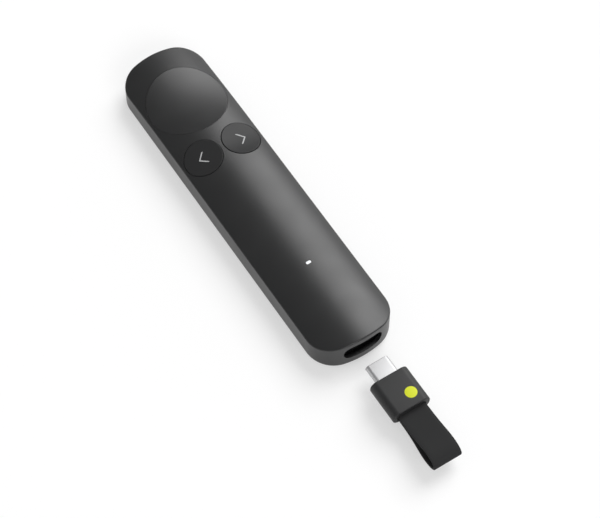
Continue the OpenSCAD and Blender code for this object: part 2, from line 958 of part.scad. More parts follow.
// ---- Strap loop ----
// Its middle line, seen from the side: distance behind the housing's back, height above the middle
function bezier(a, b, c, d, t) =
  pow(1 - t, 3) * a + 3 * pow(1 - t, 2) * t * b + 3 * (1 - t) * t * t * c + pow(t, 3) * d;
run_half = (strap_t + run_gap) / 2;
wrap_r = (pin_d + strap_t) / 2 + pin_play;
exit_u = 0.6;
exit_reach = 8.5;
loop_end = 5.2;
wide_reach = 3.5;
end_reach = 3;
fold_top = 0.8;
fold_mid = -0.6;
fold_bottom = -2.2;
fold_u = strap_out - strap_t / 2;
wide_u = strap_out - loop_end;
wide_up = loop_up - strap_t / 2;
wide_down = strap_t / 2 - loop_down;
loop_steps = 14;
upper_line = [for (i = [0 : loop_steps - 1])
  bezier([exit_u, run_half], [exit_u + exit_reach, run_half], [wide_u - wide_reach, wide_up],
    [wide_u, wide_up], i / loop_steps)];
upper_fold = [for (i = [0 : loop_steps - 1])
  bezier([wide_u, wide_up], [wide_u + end_reach, wide_up], [fold_u, fold_top],
    [fold_u, fold_mid], i / loop_steps)];
lower_fold = [for (i = [0 : loop_steps - 1])
  bezier([fold_u, fold_mid], [fold_u, fold_bottom], [wide_u + end_reach, wide_down],
    [wide_u, wide_down], i / loop_steps)];
lower_line = [for (i = [0 : loop_steps - 1])
  bezier([wide_u, wide_down], [wide_u - wide_reach, wide_down],
    [exit_u + exit_reach, -run_half], [exit_u, -run_half], i / loop_steps)];
inner_reach = 2 * exit_u;
pin_reach = 1;
lower_in = [for (i = [0 : 3])
  bezier([exit_u, -run_half], [exit_u - inner_reach, -run_half],
    [pin_reach - pin_in, -wrap_r], [-pin_in, -wrap_r], i / 4)];
wrap = [for (i = [0 : 12])
  let (a = 270 - 180 * i / 12)
  [-pin_in + wrap_r * cos(a), wrap_r * sin(a)]];
upper_in = [for (i = [1 : 3])
  bezier([-pin_in, wrap_r], [pin_reach - pin_in, wrap_r],
    [exit_u - inner_reach, run_half], [exit_u, run_half], i / 4)];
loop_line = concat(upper_line, upper_fold, lower_fold, lower_line, lower_in, wrap, upper_in);
loop_n = len(loop_line);
function loop_side(i, d) =
  let (
    before = loop_line[(i + loop_n - 1) % loop_n],
    after = loop_line[(i + 1) % loop_n],
    way = (after - before) / norm(after - before))
  loop_line[i] + d * [-way[1], way[0]];
module loop_outline(d) {
  polygon([for (i = [0 : loop_n - 1]) loop_side(i, d)]);
}
module strap_loop() {
  color([0.2, 0.2, 0.21])
    translate([-strap_w / 2, rec_back, dock_z - run_low])
      rotate([90, 0, 90])
        linear_extrude(strap_w)
          mirror([1, 0])
            difference() {
              loop_outline(strap_t / 2);
              loop_outline(-strap_t / 2);
            }
}

shell();
base_plate();
case_screws();
dock_sleeve();
socket_shell();
socket_tongue();
main_board();
battery();
battery_pad();
red_lead();
black_lead();
radio_chip();
radio_can();
power_chip();
motion_sensor();
chip_antenna();
vibration_motor();
status_led();
light_pipe();
main_switch();
back_switch();
next_switch();
main_key();
main_plunger();
back_key();
back_arrow();
back_plunger();
next_key();
next_arrow();
next_plunger();
receiver_housing();
receiver_nose();
plug_shell();
plug_insulator();
plug_contacts();
receiver_board();
receiver_chip();
receiver_dot();
strap_pin();
strap_loop();
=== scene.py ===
import math

import bmesh
import bpy
from mathutils import Matrix, Vector


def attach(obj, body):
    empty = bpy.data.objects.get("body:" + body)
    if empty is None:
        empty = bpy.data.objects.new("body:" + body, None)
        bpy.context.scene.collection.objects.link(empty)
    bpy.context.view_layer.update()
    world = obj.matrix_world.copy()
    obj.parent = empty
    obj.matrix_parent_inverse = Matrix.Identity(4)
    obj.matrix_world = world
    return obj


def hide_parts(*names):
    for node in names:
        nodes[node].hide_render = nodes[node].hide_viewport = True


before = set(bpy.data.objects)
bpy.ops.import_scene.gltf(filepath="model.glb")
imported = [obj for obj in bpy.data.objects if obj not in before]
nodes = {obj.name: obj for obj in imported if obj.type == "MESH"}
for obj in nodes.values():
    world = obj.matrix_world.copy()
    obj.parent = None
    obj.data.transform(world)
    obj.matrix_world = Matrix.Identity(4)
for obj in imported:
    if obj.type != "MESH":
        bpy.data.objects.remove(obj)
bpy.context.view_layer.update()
scene = bpy.context.scene
mm = 0.001

# ---- Camera ----
# A long lens looks down on the clicker from the near left, with the receiver nearest to it.
camera_place = Vector((-196.96, -335.18, 630.22)) * mm
camera_azimuth = math.radians(-32.632)
camera_elevation = math.radians(59.596)
camera_data = bpy.data.cameras.new("studio_camera")
camera_data.sensor_width = 36
camera_data.lens = 135.03
camera_data.clip_start = 0.05
camera_data.clip_end = 20
camera = bpy.data.objects.new("studio_camera", camera_data)
scene.collection.objects.link(camera)
camera.rotation_euler = (math.pi / 2 - camera_elevation, 0, camera_azimuth)
camera.location = camera_place
scene.camera = camera

# ---- Case ----
# One moulding makes the crowned top, the side walls and both ends. It is dark ABS with a fine
# satin texture, with a small rounding where the top meets the walls and a larger one at the foot.
half_width = 14.75
half_length = 65.0
height = 12.9
crown_drop = 3.8
crown_radius = (half_width**2 + crown_drop**2) / (2 * crown_drop)
fall_start = 25.0
fall_radius = 480.0
far_end_radius, far_corner_radius = 48.0, 9.0
near_end_radius, near_corner_radius = 32.0, 10.2
rim_radius = 0.5
foot_radius = 1.6
foot_width = 2.4
floor_thickness = 1.3
wall_thickness = 1.2
top_thickness = 1.3


def crown_height(x, y, inset=0.0):
    """Height of the crowned top, or of a surface set in from it."""
    along = max(y - fall_start, 0.0)
    reach = fall_radius - crown_radius + math.sqrt(max((crown_radius - inset) ** 2 - x * x, 0.0))
    return height - fall_radius + math.sqrt(reach**2 - along**2)


def end_edge(x, far, inset):
    """The outline's place along the body at one end, and its outward normal there."""
    end_radius = far_end_radius if far else near_end_radius
    corner_radius = far_corner_radius if far else near_corner_radius
    corner_x = half_width - corner_radius
    end_centre = half_length - end_radius
    corner_y = end_centre + math.sqrt((end_radius - corner_radius) ** 2 - corner_x**2)
    turn = math.atan2(corner_y - end_centre, corner_x)
    side = 1.0 if x >= 0 else -1.0
    if abs(x) <= (end_radius - inset) * math.cos(turn):
        radius, centre = end_radius - inset, Vector((0.0, end_centre))
    else:
        radius, centre = corner_radius - inset, Vector((side * corner_x, corner_y))
    rise = math.sqrt(max(radius**2 - (x - centre.x) ** 2, 0.0))
    normal = Vector((x - centre.x, rise)) / radius
    flip = 1.0 if far else -1.0
    return flip * (centre.y + rise), Vector((normal.x, flip * normal.y))


def outline_grid(bm, inset, across, along):
    """A grid of faces that fills the outline, with the normal of the outline at its edge."""
    grid = bmesh.ops.create_grid(bm, x_segments=across, y_segments=along, size=1.0)
    edge = {}
    for vert in grid["verts"]:
        u, v = vert.co.x, vert.co.y
        x = (half_width - inset) * math.sin(u * math.pi / 2)
        far_y, far_normal = end_edge(x, True, inset)
        near_y, near_normal = end_edge(x, False, inset)
        y = near_y + (far_y - near_y) * (v + 1) / 2
        if abs(u) > 0.9999:
            edge[vert] = Vector((math.copysign(1.0, u), 0.0))
        elif v > 0.9999:
            edge[vert] = far_normal
        elif v < -0.9999:
            edge[vert] = near_normal
        vert.co = Vector((x, y, crown_height(x, y)))
    return grid["verts"], edge


def next_ring(bm, ring, place):
    """Extrudes an open edge loop and puts each new point where place says."""
    edges = [e for e in bm.edges if e.is_boundary and e.verts[0] in ring and e.verts[1] in ring]
    made = bmesh.ops.extrude_edge_only(bm, edges=edges)["geom"]
    fresh = [g for g in made if isinstance(g, bmesh.types.BMVert)]
    grown = {}
    for vert in fresh:
        for link in vert.link_edges:
            other = link.other_vert(vert)
            if other in ring:
                grown[vert] = ring[other]
                vert.co = place(*ring[other])
                break
    return grown


def finished(bm, name):
    """Closes a bmesh into an object in metres at the origin."""
    mesh = bpy.data.meshes.new(name)
    bmesh.ops.scale(bm, vec=(mm, mm, mm), verts=bm.verts)
    bm.to_mesh(mesh)
    bm.free()
    piece = bpy.data.objects.new(name, mesh)
    scene.collection.objects.link(piece)
    return piece


def rim_arc(edge_point, normal, turn):
    """A point on the rounding between the top and the wall; turn runs from 0 at the top to 1."""
    z0 = crown_height(edge_point.x, edge_point.y)
    probe = 0.4
    inner = edge_point - normal * probe
    slope = (z0 - crown_height(inner.x, inner.y)) / probe
    stretch = math.sqrt(1 + slope**2)
    middle = z0 - slope * rim_radius - rim_radius * stretch
    start = math.asin(-slope / stretch)
    angle = start + (math.pi / 2 - start) * turn
    at = edge_point - normal * rim_radius * (1 - math.sin(angle))
    return Vector((at.x, at.y, middle + rim_radius * math.cos(angle)))


def set_in(edge_point, normal, inset, z):
    """A point at a height, set in from the outline."""
    at = edge_point - normal * inset
    return Vector((at.x, at.y, z))


shell_bm = bmesh.new()
cells_across, cells_along = 84, 240
rim_steps, foot_steps = 6, 7
wall_lead = 0.4
grid_inset = 1.25 * rim_radius
top_edge = outline_grid(shell_bm, grid_inset, cells_across, cells_along)[1]
ring = {v: (v.co.xy + n * grid_inset, n) for v, n in top_edge.items()}
for step in range(rim_steps + 1):
    ring = next_ring(shell_bm, ring, lambda p, n: rim_arc(p, n, step / rim_steps))
ring = next_ring(shell_bm, ring, lambda p, n: set_in(p, n, 0, rim_arc(p, n, 1).z - wall_lead))
ring = next_ring(shell_bm, ring, lambda p, n: set_in(p, n, 0, foot_radius + wall_lead))
for step in range(foot_steps + 1):
    a = math.pi / 2 * step / foot_steps
    foot_inset = foot_radius * (1 - math.cos(a))
    foot_z = foot_radius * (1 - math.sin(a))
    ring = next_ring(shell_bm, ring, lambda p, n: set_in(p, n, foot_inset, foot_z))
ring = next_ring(shell_bm, ring, lambda p, n: set_in(p, n, foot_width, 0))
ring = next_ring(shell_bm, ring, lambda p, n: set_in(p, n, foot_width, floor_thickness))
ring = next_ring(shell_bm, ring, lambda p, n: set_in(p, n, wall_thickness, floor_thickness))
inner_verts, inner_edge = outline_grid(shell_bm, wall_thickness, cells_across, cells_along)
for vert in inner_verts:
    vert.co.z = crown_height(vert.co.x, vert.co.y, top_thickness)
loops = [
    e for e in shell_bm.edges
    if e.is_boundary and (all(v in ring for v in e.verts) or all(v in inner_edge for v in e.verts))
]
bmesh.ops.bridge_loops(shell_bm, edges=loops)
bmesh.ops.recalc_face_normals(shell_bm, faces=shell_bm.faces)
case_shell = finished(shell_bm, "case_shell")


def round_tool(name, x, y, radius, low, high, sides=128):
    """A round cutter that stands on the piece."""
    bm = bmesh.new()
    bmesh.ops.create_cone(
        bm, cap_ends=True, segments=sides, radius1=radius, radius2=radius, depth=high - low,
        matrix=Matrix.Translation((x, y, (low + high) / 2)),
    )
    return finished(bm, name)


def rounded_bar(bm, width, thick, radius, start, end, centre_z, steps=10):
    """A bar along the body whose long edges are rounded."""
    made = bmesh.ops.create_cube(bm, size=1.0)["verts"]
    bmesh.ops.scale(bm, vec=(width, end - start, thick), verts=made)
    bmesh.ops.translate(bm, vec=(0, (start + end) / 2, centre_z), verts=made)
    touching = {e for v in made for e in v.link_edges}
    long_edges = [e for e in touching if abs(e.verts[0].co.y - e.verts[1].co.y) > 1e-4]
    bmesh.ops.bevel(
        bm, geom=long_edges, offset=radius, offset_type="OFFSET", affect="EDGES",
        segments=steps, profile=0.5, material=-1,
    )


def cut(piece, tool):
    """Takes a cutter away from a piece and removes the cutter."""
    knife = piece.modifiers.new("cut", "BOOLEAN")
    knife.operation = "DIFFERENCE"
    knife.solver = "EXACT"
    knife.object = tool
    depsgraph = bpy.context.evaluated_depsgraph_get()
    mesh = bpy.data.meshes.new_from_object(piece.evaluated_get(depsgraph))
    piece.modifiers.clear()
    piece.data = mesh
    bpy.data.objects.remove(tool)


def shade(piece, angle=32):
    """Smooth faces, with a crease wherever two faces meet at more than the angle."""
    piece.data.shade_smooth()
    piece.data.set_sharp_from_angle(angle=math.radians(angle))


near_face = -half_length
dock_z = 7.2
slot_width, slot_height, slot_radius = 14.14, 6.04, 2.62
slot_ahead, slot_deep = 4, 6
flare_ahead, flare_deep, flare_width = 0.6, 0.5, 1.1
main_radius, main_gap = 13.6, 0.15
main_y = 42.4
key_radius, key_gap = 6.45, 0.18
key_x, key_y = 7.16, 19.7
light_y = -32.6
light_width, light_length = 1.8, 1.0
board_top = 6.4
above_case = 20
light_hole_depth = 10
light_hole_z = 13

slot_bm = bmesh.new()
rounded_bar(
    slot_bm, slot_width, slot_height, slot_radius, near_face - slot_ahead, near_face + slot_deep,
    dock_z,
)
cut(case_shell, finished(slot_bm, "slot_tool"))
flare_bm = bmesh.new()
rounded_bar(
    flare_bm, slot_width, slot_height, slot_radius, near_face - flare_ahead,
    near_face + flare_deep, dock_z,
)
for vert in flare_bm.verts:
    if vert.co.y < near_face:
        vert.co.x *= 1 + flare_width / slot_width
        vert.co.z = dock_z + (vert.co.z - dock_z) * (1 + flare_width / slot_height)
cut(case_shell, finished(flare_bm, "flare_tool"))
main_hole_radius = main_radius + main_gap
cut(case_shell, round_tool("main_hole_tool", 0, main_y, main_hole_radius, board_top, above_case, 160))
key_hole_radius = key_radius + key_gap
for x in (-key_x, key_x):
    cut(case_shell, round_tool("key_hole_tool", x, key_y, key_hole_radius, board_top, above_case, 112))
light_bm = bmesh.new()
made = bmesh.ops.create_cube(light_bm, size=1.0)["verts"]
bmesh.ops.scale(light_bm, vec=(light_width, light_length, light_hole_depth), verts=made)
bmesh.ops.translate(light_bm, vec=(0, light_y, light_hole_z), verts=made)
upright = [e for e in light_bm.edges if abs(e.verts[0].co.z - e.verts[1].co.z) > 1]
bmesh.ops.bevel(
    light_bm, geom=upright, offset=light_length / 2 - 0.01, offset_type="OFFSET", affect="EDGES",
    segments=8, profile=0.5, material=-1,
)
cut(case_shell, finished(light_bm, "light_tool"))
shade(case_shell)


def moulded_plastic(name, colour, roughness, grain=0.35, relief=0.006, shift=0.1, gloss=0.5):
    """A moulded plastic with a fine texture; grain and relief are in millimetres."""
    material = bpy.data.materials.new(name)
    material.use_nodes = True
    tree = material.node_tree
    shader = tree.nodes["Principled BSDF"]
    place = tree.nodes.new("ShaderNodeTexCoord")
    texture = tree.nodes.new("ShaderNodeTexNoise")
    texture.inputs["Scale"].default_value = 1 / (grain * mm)
    texture.inputs["Detail"].default_value = 3
    texture.inputs["Roughness"].default_value = 0.6
    tree.links.new(place.outputs["Object"], texture.inputs["Vector"])
    cloud = tree.nodes.new("ShaderNodeTexNoise")
    cloud.inputs["Scale"].default_value = 90
    cloud.inputs["Detail"].default_value = 4
    tree.links.new(place.outputs["Object"], cloud.inputs["Vector"])
    tint = tree.nodes.new("ShaderNodeMix")
    tint.data_type = "RGBA"
    tint.inputs["A"].default_value = (*[c * (1 - shift) for c in colour], 1)
    tint.inputs["B"].default_value = (*[c * (1 + shift) for c in colour], 1)
    blend = tree.nodes.new("ShaderNodeMath")
    blend.operation = "ADD"
    half_cloud = tree.nodes.new("ShaderNodeMath")
    half_cloud.operation = "MULTIPLY"
    half_cloud.inputs[1].default_value = 0.5
    half_grain = tree.nodes.new("ShaderNodeMath")
    half_grain.operation = "MULTIPLY"
    half_grain.inputs[1].default_value = 0.5
    tree.links.new(cloud.outputs["Fac"], half_cloud.inputs[0])
    tree.links.new(texture.outputs["Fac"], half_grain.inputs[0])
    tree.links.new(half_cloud.outputs[0], blend.inputs[0])
    tree.links.new(half_grain.outputs[0], blend.inputs[1])
    tree.links.new(blend.outputs[0], tint.inputs["Factor"])
    tree.links.new(tint.outputs["Result"], shader.inputs["Base Color"])
    sheen = tree.nodes.new("ShaderNodeMapRange")
    sheen.inputs["From Min"].default_value = 0.3
    sheen.inputs["From Max"].default_value = 0.7
    sheen.inputs["To Min"].default_value = roughness - 0.03
    sheen.inputs["To Max"].default_value = roughness + 0.03
    tree.links.new(cloud.outputs["Fac"], sheen.inputs["Value"])
    tree.links.new(sheen.outputs["Result"], shader.inputs["Roughness"])
    shader.inputs["IOR"].default_value = 1.56
    shader.inputs["Specular IOR Level"].default_value = gloss
    bump = tree.nodes.new("ShaderNodeBump")
    bump.inputs["Strength"].default_value = 0.35
    bump.inputs["Distance"].default_value = relief * mm
    tree.links.new(texture.outputs["Fac"], bump.inputs["Height"])
    tree.links.new(bump.outputs["Normal"], shader.inputs["Normal"])
    return material


def dress(piece, material):
    """Gives a piece one material all over."""
    piece.data.materials.clear()
    piece.data.materials.append(material)


case_plastic = moulded_plastic("case_plastic", (0.010, 0.0102, 0.0106), 0.37, gloss=0.45)
dress(case_shell, case_plastic)
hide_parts("shell")
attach(case_shell, "case")

# ---- Base plate, case screws and light ----
# The underside is a flat moulded plate in the case's foot, held by six recessed steel screws. A
# milky light pipe carries the status light up through the top.
dress(nodes["base_plate"], moulded_plastic("base_plastic", (0.017, 0.0172, 0.018), 0.5, grain=0.5))


def plated_metal(name, colour, roughness, grain=0.2, relief=0.0006):
    """Plated sheet or turned metal with faint scratches along the body."""
    material = bpy.data.materials.new(name)
    material.use_nodes = True
    tree = material.node_tree
    shader = tree.nodes["Principled BSDF"]
    shader.inputs["Metallic"].default_value = 1.0
    place = tree.nodes.new("ShaderNodeTexCoord")
    stretch = tree.nodes.new("ShaderNodeMapping")
    stretch.inputs["Scale"].default_value = (1, 0.06, 1)
    scratch = tree.nodes.new("ShaderNodeTexNoise")
    scratch.inputs["Scale"].default_value = 1 / (grain * mm)
    scratch.inputs["Detail"].default_value = 5
    tree.links.new(place.outputs["Object"], stretch.inputs["Vector"])
    tree.links.new(stretch.outputs["Vector"], scratch.inputs["Vector"])
    tint = tree.nodes.new("ShaderNodeMix")
    tint.data_type = "RGBA"
    tint.inputs["A"].default_value = (*[c * 0.96 for c in colour], 1)
    tint.inputs["B"].default_value = (*[min(c * 1.04, 1) for c in colour], 1)
    tree.links.new(scratch.outputs["Fac"], tint.inputs["Factor"])
    tree.links.new(tint.outputs["Result"], shader.inputs["Base Color"])
    sheen = tree.nodes.new("ShaderNodeMapRange")
    sheen.inputs["To Min"].default_value = roughness - 0.05
    sheen.inputs["To Max"].default_value = roughness + 0.05
    tree.links.new(scratch.outputs["Fac"], sheen.inputs["Value"])
    tree.links.new(sheen.outputs["Result"], shader.inputs["Roughness"])
    bump = tree.nodes.new("ShaderNodeBump")
    bump.inputs["Strength"].default_value = 0.15
    bump.inputs["Distance"].default_value = relief * mm
    tree.links.new(scratch.outputs["Fac"], bump.inputs["Height"])
    tree.links.new(bump.outputs["Normal"], shader.inputs["Normal"])
    return material


screw_steel = plated_metal("screw_steel", (0.52, 0.53, 0.55), 0.32)
dress(nodes["case_screws"], screw_steel)
milky_clear = moulded_plastic(
    "milky_clear", (0.36, 0.365, 0.37), 0.3, grain=0.2, relief=0.002, shift=0.04
)
lit = milky_clear.node_tree.nodes["Principled BSDF"]
lit.inputs["Emission Color"].default_value = (0.95, 0.98, 1, 1)
lit.inputs["Emission Strength"].default_value = 0.5
dress(nodes["light_pipe"], milky_clear)

# ---- Keys ----
# Each key is a moulded cap in its own round hole, with a shallow dish for the thumb. The large one
# is flush with the case. The two small ones stand a little proud and have a moulded arrow mark.
dish_depth = 1.3
key_proud = 0.25
key_dish = 0.6
skirt_depth = 1.1
stem_foot = 8.6
edge_steps = 5
side_lead = 0.15


def main_surface(x, y):
    return crown_height(x, y) - dish_depth * (1 - (x * x + (y - main_y) ** 2) / main_radius**2)


def key_surface(x, y):
    off = (abs(x) - key_x) ** 2 + (y - key_y) ** 2
    return crown_height(x, y) + key_proud - key_dish * (1 - off / key_radius**2)


def key_cap(name, x, y, radius, edge, steps, sides, surface, skirt, stem):
    """A round cap: a profile is spun round the key's middle and laid on its surface."""
    bm = bmesh.new()
    points = [((radius - edge) * i / steps, 0.0) for i in range(steps + 1)]
    for i in range(1, edge_steps + 1):
        a = math.pi / 2 * i / edge_steps
        points.append((radius - edge + edge * math.sin(a), -edge * (1 - math.cos(a))))
    points.append((radius, -edge - side_lead))
    points.append((radius, -skirt))
    points.append((0.0, -skirt))
    chain = [bm.verts.new((r, 0, z)) for r, z in points]
    for a, b in zip(chain, chain[1:]):
        bm.edges.new((a, b))
    bmesh.ops.spin(
        bm, geom=list(bm.verts) + list(bm.edges), cent=(0, 0, 0), axis=(0, 0, 1),
        angle=2 * math.pi, steps=sides, use_merge=True,
    )
    bmesh.ops.remove_doubles(bm, verts=bm.verts, dist=1e-5)
    for vert in bm.verts:
        vert.co.z += surface(vert.co.x + x, vert.co.y + y)
    bmesh.ops.translate(bm, vec=(x, y, 0), verts=bm.verts)
    top = surface(x, y) - skirt
    bmesh.ops.create_cone(
        bm, cap_ends=True, segments=32, radius1=stem / 2, radius2=stem / 2, depth=top - stem_foot,
        matrix=Matrix.Translation((x, y, (top + stem_foot) / 2)),
    )
    bmesh.ops.recalc_face_normals(bm, faces=bm.faces)
    cap = finished(bm, name)
    shade(cap, 40)
    return cap


seam_fill = 0.08
large_key = key_cap(
    "large_round_key", 0, main_y, main_radius + seam_fill, edge=0.05, steps=44, sides=160,
    surface=main_surface, skirt=skirt_depth, stem=5,
)
dress(large_key, case_plastic)
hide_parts("main_key")
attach(large_key, "main_button")

arrow_reach, arrow_run, arrow_stroke, arrow_point = 2.2, 2.2, 0.55, 1.8
arrow_lift, arrow_depth = 0.025, 0.2
key_rubber = moulded_plastic(
    "key_rubber", (0.021, 0.0212, 0.0216), 0.37, grain=0.25, relief=0.005, gloss=0.14
)
arrow_grey = moulded_plastic(
    "arrow_grey", (0.40, 0.404, 0.408), 0.5, grain=0.2, relief=0.002, shift=0.05, gloss=0.3
)
for side, word in ((-1, "back"), (1, "next")):
    cap = key_cap(
        f"{word}_key_cap", side * key_x, key_y, key_radius, edge=0.22, steps=22, sides=112,
        surface=key_surface, skirt=skirt_depth, stem=3,
    )
    dress(cap, key_rubber)
    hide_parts(f"{word}_key")
    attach(cap, f"{word}_button")
    bm = bmesh.new()
    mark = bmesh.ops.create_grid(bm, x_segments=2, y_segments=28, size=1.0)["verts"]
    for vert in mark:
        u, v = vert.co.x, vert.co.y
        outward = arrow_point - arrow_run * abs(v) - arrow_stroke * (1 - u) / 2
        x, y = side * (key_x + outward), key_y + arrow_reach * v
        vert.co = Vector((x, y, key_surface(x, y) + arrow_lift))
    lifted = bmesh.ops.extrude_face_region(bm, geom=bm.faces[:])["geom"]
    sunk = [g for g in lifted if isinstance(g, bmesh.types.BMVert)]
    bmesh.ops.translate(bm, vec=(0, 0, -arrow_depth), verts=sunk)
    bmesh.ops.recalc_face_normals(bm, faces=bm.faces)
    arrow = finished(bm, f"{word}_arrow_mark")
    shade(arrow)
    dress(arrow, arrow_grey)
    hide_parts(f"{word}_arrow")
    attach(arrow, f"{word}_button")

# ---- Switches, board and battery ----
# Inside, a green board carries the switches, the radio under its can, the other chips and the
# vibration motor. A pouch battery is stuck to the base plate under it.
black_moulding = moulded_plastic("black_moulding", (0.008, 0.008, 0.0085), 0.42, grain=0.3)
for name in ("main_switch", "back_switch", "next_switch", "socket_tongue", "plug_insulator"):
    dress(nodes[name], black_moulding)
dress(nodes["dock_sleeve"], moulded_plastic("dock_plastic", (0.006, 0.006, 0.0065), 0.5, grain=0.3))
plunger_plastic = moulded_plastic("plunger_plastic", (0.55, 0.53, 0.46), 0.45, grain=0.2)
for name in ("main_plunger", "back_plunger", "next_plunger"):
    dress(nodes[name], plunger_plastic)
chip_epoxy = moulded_plastic("chip_epoxy", (0.012, 0.012, 0.013), 0.6, grain=0.1)
for name in ("radio_chip", "power_chip", "motion_sensor", "receiver_chip"):
    dress(nodes[name], chip_epoxy)
board_mask = moulded_plastic("board_mask", (0.012, 0.12, 0.05), 0.3, grain=0.6, shift=0.2)
for name in ("main_board", "receiver_board"):
    dress(nodes[name], board_mask)
plated_sheet = plated_metal("plated_sheet", (0.74, 0.75, 0.77), 0.25)
for name in ("radio_can", "socket_shell", "vibration_motor", "strap_pin"):
    dress(nodes[name], plated_sheet)
dress(nodes["plug_contacts"], plated_metal("gold_plate", (0.85, 0.62, 0.25), 0.25))
dress(nodes["battery"], plated_metal("pouch_foil", (0.6, 0.62, 0.64), 0.4, grain=1.5))
dress(nodes["battery_pad"], moulded_plastic("foam_pad", (0.7, 0.69, 0.64), 0.8, grain=0.4, relief=0.05))
dress(nodes["red_lead"], moulded_plastic("red_insulation", (0.5, 0.02, 0.015), 0.4, grain=0.5))
dress(nodes["black_lead"], moulded_plastic("black_insulation", (0.01, 0.01, 0.01), 0.4, grain=0.5))
dress(nodes["chip_antenna"], moulded_plastic("antenna_ceramic", (0.6, 0.58, 0.5), 0.5, grain=0.2))
dress(nodes["status_led"], moulded_plastic("led_lens", (0.7, 0.7, 0.6), 0.2, grain=0.3))

# ---- Receiver ----
# A small moulded housing with well-rounded long edges carries the plated USB-C plug. A round
# coloured dot is set in its top, and its back has a slot for the strap.
receiver_width, receiver_height, receiver_edge = 13.7, 5.6, 2.4
receiver_wall = 0.8
pull_out, plug_length, receiver_length = 6.8, 6.65, 13.2
tip_y = near_face - pull_out
front_y = tip_y - plug_length
back_y = front_y - receiver_length
end_edge_radius = 0.3
run_low = 0.35
strap_width, strap_thickness = 10.1, 0.85
strap_slot_width, strap_slot_height = 10.7, 2.42

housing_bm = bmesh.new()
rounded_bar(housing_bm, receiver_width, receiver_height, receiver_edge, back_y, front_y, dock_z, 14)
ends = [
    e for e in housing_bm.edges
    if abs(e.verts[0].co.y - e.verts[1].co.y) < 1e-4
]
bmesh.ops.bevel(
    housing_bm, geom=ends, offset=end_edge_radius, offset_type="OFFSET", affect="EDGES",
    segments=4, profile=0.5, material=-1,
)
housing = finished(housing_bm, "receiver_case")
hollow_bm = bmesh.new()
rounded_bar(
    hollow_bm, receiver_width - 2 * receiver_wall, receiver_height - 2 * receiver_wall,
    receiver_edge - receiver_wall, back_y + receiver_wall, front_y + 1, dock_z,
)
cut(housing, finished(hollow_bm, "hollow_tool"))
strap_slot_bm = bmesh.new()
rounded_bar(
    strap_slot_bm, strap_slot_width, strap_slot_height, 0.3, back_y - 1, back_y + 1.5,
    dock_z - run_low, 4,
)
cut(housing, finished(strap_slot_bm, "strap_slot_tool"))
shade(housing, 30)
receiver_plastic = moulded_plastic(
    "receiver_plastic", (0.016, 0.0162, 0.0166), 0.52, grain=0.3, gloss=0.3
)
dress(housing, receiver_plastic)
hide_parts("receiver_housing")
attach(housing, "receiver")
dress(nodes["receiver_nose"], receiver_plastic)

dot_x, dot_y, dot_radius = 2.5, back_y + 4.4, 2.0
dot_thickness, dot_rise = 0.32, 0.02
receiver_top = dock_z + receiver_height / 2
dot_bm = bmesh.new()
bmesh.ops.create_cone(
    dot_bm, cap_ends=True, segments=64, radius1=dot_radius, radius2=dot_radius,
    depth=dot_thickness,
    matrix=Matrix.Translation((dot_x, dot_y, receiver_top + dot_rise - dot_thickness / 2)),
)
upper = [e for e in dot_bm.edges if all(v.co.z > receiver_top for v in e.verts)]
bmesh.ops.bevel(
    dot_bm, geom=upper, offset=dot_rise, offset_type="OFFSET", affect="EDGES", segments=2,
    profile=0.5, material=-1,
)
dot = finished(dot_bm, "coloured_dot")
shade(dot, 40)
dot_plastic = moulded_plastic(
    "dot_yellow_green", (0.60, 0.65, 0.016), 0.6, grain=0.2, relief=0.002, shift=0.03, gloss=0.3
)
dress(dot, dot_plastic)
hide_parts("receiver_dot")
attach(dot, "receiver")

# ---- Plug ----
# The plug's shell is drawn from nickel-plated steel sheet, with a rounded tip.
plug_width, plug_height, plug_sheet = 8.34, 2.56, 0.3
plug_root, plug_hollow, tip_edge = 3, 6.2, 0.2
plug_round = plug_height / 2 - 0.01
plug_bm = bmesh.new()
rounded_bar(plug_bm, plug_width, plug_height, plug_round, front_y - plug_root, tip_y, dock_z, 12)
tip_face = max(plug_bm.faces, key=lambda f: f.calc_center_median().y)
bmesh.ops.bevel(
    plug_bm, geom=list(tip_face.edges), offset=tip_edge, offset_type="OFFSET", affect="EDGES",
    segments=3, profile=0.5, material=-1,
)
plug_bm.faces.ensure_lookup_table()
tip_face = max(plug_bm.faces, key=lambda f: f.calc_center_median().y)
bmesh.ops.inset_region(
    plug_bm, faces=[tip_face], thickness=plug_sheet - tip_edge, use_even_offset=True
)
inward = bmesh.ops.extrude_face_region(plug_bm, geom=[tip_face])["geom"]
bmesh.ops.delete(plug_bm, geom=[tip_face], context="FACES_ONLY")
bmesh.ops.translate(
    plug_bm, vec=(0, -plug_hollow, 0), verts=[g for g in inward if isinstance(g, bmesh.types.BMVert)]
)
bmesh.ops.recalc_face_normals(plug_bm, faces=plug_bm.faces)
plug = finished(plug_bm, "plug_sleeve")
shade(plug, 35)
dress(plug, plated_metal("nickel_plate", (0.49, 0.49, 0.495), 0.5))
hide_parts("plug_shell")
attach(plug, "receiver")

# ---- Strap ----
# A flat moulded elastomer strap runs into the housing's back, round a steel pin, and out again.
# Outside it opens into a flat teardrop loop. Both runs are one band with softly rounded edges.
pin_inset, pin_diameter, pin_play = 2.4, 1.2, 0.05
run_gap = 0.12
wrap_radius = pin_diameter / 2 + strap_thickness / 2 + pin_play
run_half = (strap_thickness + run_gap) / 2
loop_length, loop_rise, loop_fall = 20.0, 2.35, 3.8
fold_u = loop_length - strap_thickness / 2
wide_u = loop_length - 5.2
wide_up = loop_rise - strap_thickness / 2
wide_down = strap_thickness / 2 - loop_fall
exit_u, exit_reach, wide_reach, end_reach = 0.6, 8.5, 3.5, 3.0
fold_top, fold_middle, fold_bottom = 0.8, -0.6, -2.2
inner_reach, pin_reach = 1.2, 1.0


